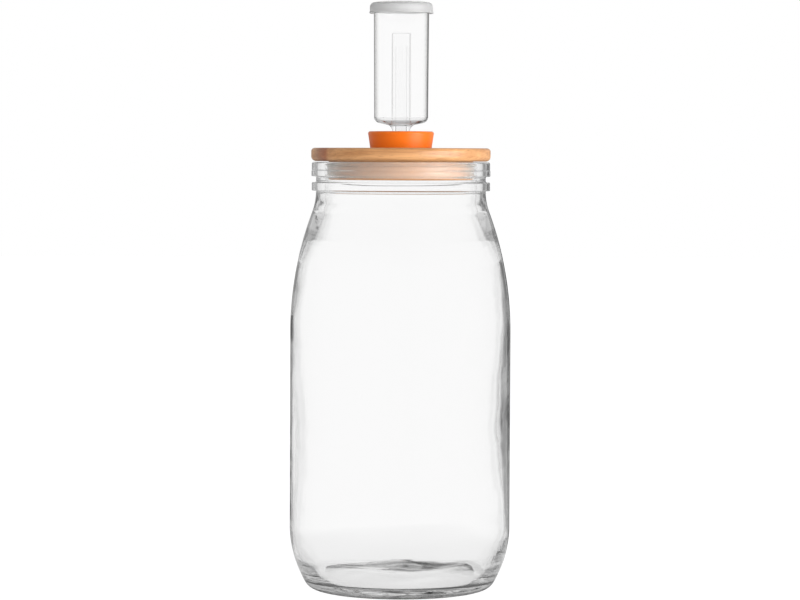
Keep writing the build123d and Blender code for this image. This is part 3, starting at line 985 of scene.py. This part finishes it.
# %% Turn the lid
lid_lo, lid_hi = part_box("wooden_lid")
lid_top, plug_foot, lid_radius = lid_hi.z / mm, lid_lo.z / mm, lid_hi.x / mm
lid_gap, fit_gap = 0.5, 0.05
lid_under = jar_height + lid_gap
plug_radius, groove_foot, groove_height, groove_radius = 45.4, plug_foot + 1.4, 8.7, 43.4
bung_lo, bung_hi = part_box("silicone_bung")
bung_top, bung_foot = bung_hi.z / mm, bung_lo.z / mm
bung_radius, bung_slope = 20.9, tan(radians(8.5))
hole_top = bung_radius - (bung_top - lid_top) * bung_slope + fit_gap
hole_foot = hole_top - (lid_top - plug_foot) * bung_slope
lid_outline = rounded([
    (hole_top, lid_top, 0.5), (lid_radius, lid_top, 2.2), (lid_radius, lid_under, 3.0),
    (plug_radius, lid_under, 0.4), (plug_radius, groove_foot + groove_height, 0.3),
    (groove_radius, groove_foot + groove_height), (groove_radius, groove_foot),
    (plug_radius, groove_foot, 0.3), (plug_radius, plug_foot, 1.4), (hole_foot, plug_foot, 0.6),
], steps=8, closed=True)
wooden_lid = finish_piece(spin(lid_outline, closed=True), "lid_wood", "lid", "lid_wood", "wooden_lid")

# %% [markdown]
# ## Stretched noise
# Everything in the grain of wood is long in one direction. A Mapping node scales the coordinates less
# along X than across, so that plain noise comes out stretched along X.

# %% A helper for stretched noise
def stretched_noise(tree, place, source, scale, detail=4, roughness=0.55):
    mapping = node(tree, "ShaderNodeMapping", (place[0] - 200, place[1]))
    mapping.inputs["Scale"].default_value = scale
    made = node(tree, "ShaderNodeTexNoise", place)
    made.inputs["Scale"].default_value = 1.0
    made.inputs["Detail"].default_value = detail
    made.inputs["Roughness"].default_value = roughness
    tree.links.new(source, mapping.inputs["Vector"])
    tree.links.new(mapping.outputs["Vector"], made.inputs["Vector"])
    return made


print("helper for stretched noise")

# %% [markdown]
# ## The grain
# Wood is drawn by its growth: broad bands of pale and dark, fine streaks along the grain, and short
# dark flecks where pores are cut. A Wave texture would give rings that are too even, so each of the
# three is stretched noise with its own colours, and they are multiplied.

# %% Grain of the wood
wood = bpy.data.materials.new("lid_hardwood")
wood.use_nodes = True
tree = wood.node_tree
shader = tree.nodes["Principled BSDF"]
where = node(tree, "ShaderNodeTexCoord", (-1500, 0))
bands = stretched_noise(tree, (-900, 300), where.outputs["Object"], (9, 60, 300), 3, 0.5)
streaks = stretched_noise(tree, (-900, 0), where.outputs["Object"], (22, 260, 1500), 3, 0.65)
flecks = stretched_noise(tree, (-900, -300), where.outputs["Object"], (260, 700, 2600), 2, 0.5)
band_colour = ramp_of(tree, (-600, 300), (0.3, (0.56, 0.25, 0.09)), (0.7, (0.78, 0.41, 0.175)))
streak_colour = ramp_of(tree, (-600, 0), (0.36, (0.78, 0.73, 0.68)), (0.6, (1, 1, 1)))
fleck_colour = ramp_of(tree, (-600, -300), (0.27, (0.5, 0.4, 0.33)), (0.36, (1, 1, 1)))
first = node(tree, "ShaderNodeMix", (-300, 200), data_type="RGBA", blend_type="MULTIPLY")
second = node(tree, "ShaderNodeMix", (-100, 100), data_type="RGBA", blend_type="MULTIPLY")
first.inputs["Factor"].default_value = 1.0
second.inputs["Factor"].default_value = 0.7
tree.links.new(bands.outputs["Fac"], band_colour.inputs["Fac"])
tree.links.new(streaks.outputs["Fac"], streak_colour.inputs["Fac"])
tree.links.new(flecks.outputs["Fac"], fleck_colour.inputs["Fac"])
tree.links.new(band_colour.outputs["Color"], first.inputs["A"])
tree.links.new(streak_colour.outputs["Color"], first.inputs["B"])
tree.links.new(first.outputs["Result"], second.inputs["A"])
tree.links.new(fleck_colour.outputs["Color"], second.inputs["B"])
print("grain of", len(tree.nodes), "nodes")

# %% [markdown]
# ## The darker left end
# The left end of the lid's front edge is darker: partly end grain, and partly painted shade where the
# edge turns away from the key lamp. A ramp along X darkens the colour there, on the front alone.

# %% The darker left end
dark_left_from, dark_left_to = -0.06, -0.04
front_full, front_none = -0.022, -0.012
# Painted shade and end grain: the ramp darkens the left end of the front, turned away from the key lamp.
third = node(tree, "ShaderNodeMix", (100, 100), data_type="RGBA", blend_type="MULTIPLY")
sides = node(tree, "ShaderNodeSeparateXYZ", (-900, -600))
along = node(tree, "ShaderNodeMapRange", (-700, -600))
along.inputs["From Min"].default_value = dark_left_from
along.inputs["From Max"].default_value = dark_left_to
grain_and_shade_colour = ramp_of(tree, (-500, -600), (0.3, (0.78, 0.8, 0.84)), (0.48, (0.62, 0.47, 0.4)),
                      (0.66, (0.66, 0.42, 0.34)), (0.76, (1, 1, 1)))
front_only = node(tree, "ShaderNodeMapRange", (-500, -900))
front_only.inputs["From Min"].default_value = front_full
front_only.inputs["From Max"].default_value = front_none
front_only.inputs["To Min"].default_value = 1.0
front_only.inputs["To Max"].default_value = 0.0
tree.links.new(where.outputs["Object"], sides.inputs[0])
tree.links.new(sides.outputs["X"], along.inputs["Value"])
tree.links.new(sides.outputs["Y"], front_only.inputs["Value"])
tree.links.new(along.outputs["Result"], grain_and_shade_colour.inputs["Fac"])
tree.links.new(front_only.outputs["Result"], third.inputs["Factor"])
tree.links.new(second.outputs["Result"], third.inputs["A"])
tree.links.new(grain_and_shade_colour.outputs["Color"], third.inputs["B"])
print("knot from", dark_left_from / mm, "to", dark_left_to / mm, "mm")

# %% [markdown]
# ## Wood seen in the glass
# The thick glass mirrors the wood in thin streaks. In the photograph they are almost without colour,
# so for rays that have been reflected in the glass the wood's colour is a painted grey reflection. A
# satin oil finish leaves the grain to be felt, which is a faint bump.

# %% Painted grey reflection and finish of the wood
grey_when_mirrored = 0.85
mirrored_grey = 0.55
# Painted reflection: rays reflected in the glass see the wood's colour mixed towards grey.
path = node(tree, "ShaderNodeLightPath", (-100, 600))
mirrored = node(tree, "ShaderNodeMath", (100, 500), operation="MULTIPLY")
mirrored.inputs[1].default_value = grey_when_mirrored
mirrored.use_clamp = True
shown = node(tree, "ShaderNodeMix", (300, 200), data_type="RGBA")
shown.inputs["B"].default_value = (mirrored_grey, mirrored_grey, mirrored_grey, 1)
tree.links.new(path.outputs["Glossy Depth"], mirrored.inputs[0])
tree.links.new(mirrored.outputs[0], shown.inputs["Factor"])
tree.links.new(third.outputs["Result"], shown.inputs["A"])
tree.links.new(shown.outputs["Result"], shader.inputs["Base Color"])
shader.inputs["Roughness"].default_value = 0.4
bump = node(tree, "ShaderNodeBump", (-300, -300))
bump.inputs["Strength"].default_value = 0.25
bump.inputs["Distance"].default_value = 0.1 * mm
tree.links.new(streaks.outputs["Fac"], bump.inputs["Height"])
tree.links.new(bump.outputs["Normal"], shader.inputs["Normal"])
wooden_lid.data.materials.append(wood)
print("finish of the wood:", len(tree.nodes), "nodes in all")

# %% [markdown]
# ## The seal
# A ring of silicone in a groove round the plug. It is milky and clear enough to show the wood of the
# plug behind it, and its three soft fins drag on the neck.

# %% The finned seal
seal_lo, seal_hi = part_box("lid_seal")
seal_foot, seal_top = seal_lo.z / mm, seal_hi.z / mm
fin_gap, seal_wall = 0.06, 2.7
fin_tip = mouth_radius - fin_gap
seal_inner = groove_radius + fit_gap
seal_outer = seal_inner + seal_wall
fin_count = 3
fin_pitch = (seal_top - seal_foot) / fin_count
seal_corners = [(seal_inner, seal_foot, 0.2), (seal_outer, seal_foot, 0.3)]
for fin in range(fin_count):
    middle = seal_foot + (fin + 0.5) * fin_pitch
    seal_corners += [(seal_outer, middle - 0.75, 0.3), (fin_tip, middle + 0.25, 0.2),
                     (fin_tip, middle + 0.75, 0.2), (seal_outer, middle + 0.75, 0.3)]
seal_corners += [(seal_outer, seal_top, 0.3), (seal_inner, seal_top, 0.2)]
seal_bm = spin(rounded(seal_corners, steps=3, closed=True), closed=True)
lid_seal = finish_piece(seal_bm, "seal_silicone", "lid", "clear_silicone", "lid_seal")
seal_material = bpy.data.materials.new("milky_silicone")
seal_material.use_nodes = True
tree = seal_material.node_tree
tree.nodes.clear()
shader = node(tree, "ShaderNodeBsdfPrincipled", (-400, 0))
shader.inputs["Base Color"].default_value = (0.93, 0.9, 0.85, 1)
shader.inputs["Transmission Weight"].default_value = 0.85
shader.inputs["Roughness"].default_value = 0.3
shader.inputs["IOR"].default_value = 1.3
let_lamps_through(tree, shader, (0.9, 0.87, 0.84))
lid_seal.data.materials.append(seal_material)
print("seal with", fin_count, "fins")

# %% [markdown]
# ## The bung
# A tapered stopper of silicone dyed orange, with a bore that grips the airlock's stem. It is satin and
# lets a little light into itself, which subsurface scattering gives.

# %% The bung
stem_slope = stem_taper / stem_length
bung_bore_top = stem_radius - (funnel_foot - bung_top) * stem_slope + fit_gap
bung_bore_foot = bung_bore_top - (bung_top - bung_foot) * stem_slope
bung_foot_radius = bung_radius - (bung_top - bung_foot) * bung_slope
bung_outline = rounded([
    (bung_bore_top, bung_top, 0.4), (bung_radius, bung_top, 1.3),
    (bung_foot_radius, bung_foot, 0.8), (bung_bore_foot, bung_foot, 0.4),
], steps=8, closed=True)
bung = finish_piece(spin(bung_outline, closed=True), "bung_silicone", "bung", "orange_silicone",
                    "silicone_bung")
bung_material = bpy.data.materials.new("orange_silicone")
bung_material.use_nodes = True
shader = bung_material.node_tree.nodes["Principled BSDF"]
shader.inputs["Base Color"].default_value = (0.91, 0.183, 0.008, 1)
shader.inputs["Specular IOR Level"].default_value = 0.3
shader.inputs["Roughness"].default_value = 0.38
shader.inputs["Subsurface Weight"].default_value = 0.15
shader.inputs["Subsurface Radius"].default_value = (1.0, 0.3, 0.08)
shader.inputs["Subsurface Scale"].default_value = 3 * mm
bung.data.materials.append(bung_material)
print("bung", round(2 * bung_radius, 1), "mm across the top")

# %% [markdown]
# ## Last step
# The big lamp is given the solid pieces to light.

# %% Give the big lamp the solid pieces
for piece in (wooden_lid, bung, airlock_cap, lid_seal):
    lit_by_key.objects.link(piece)
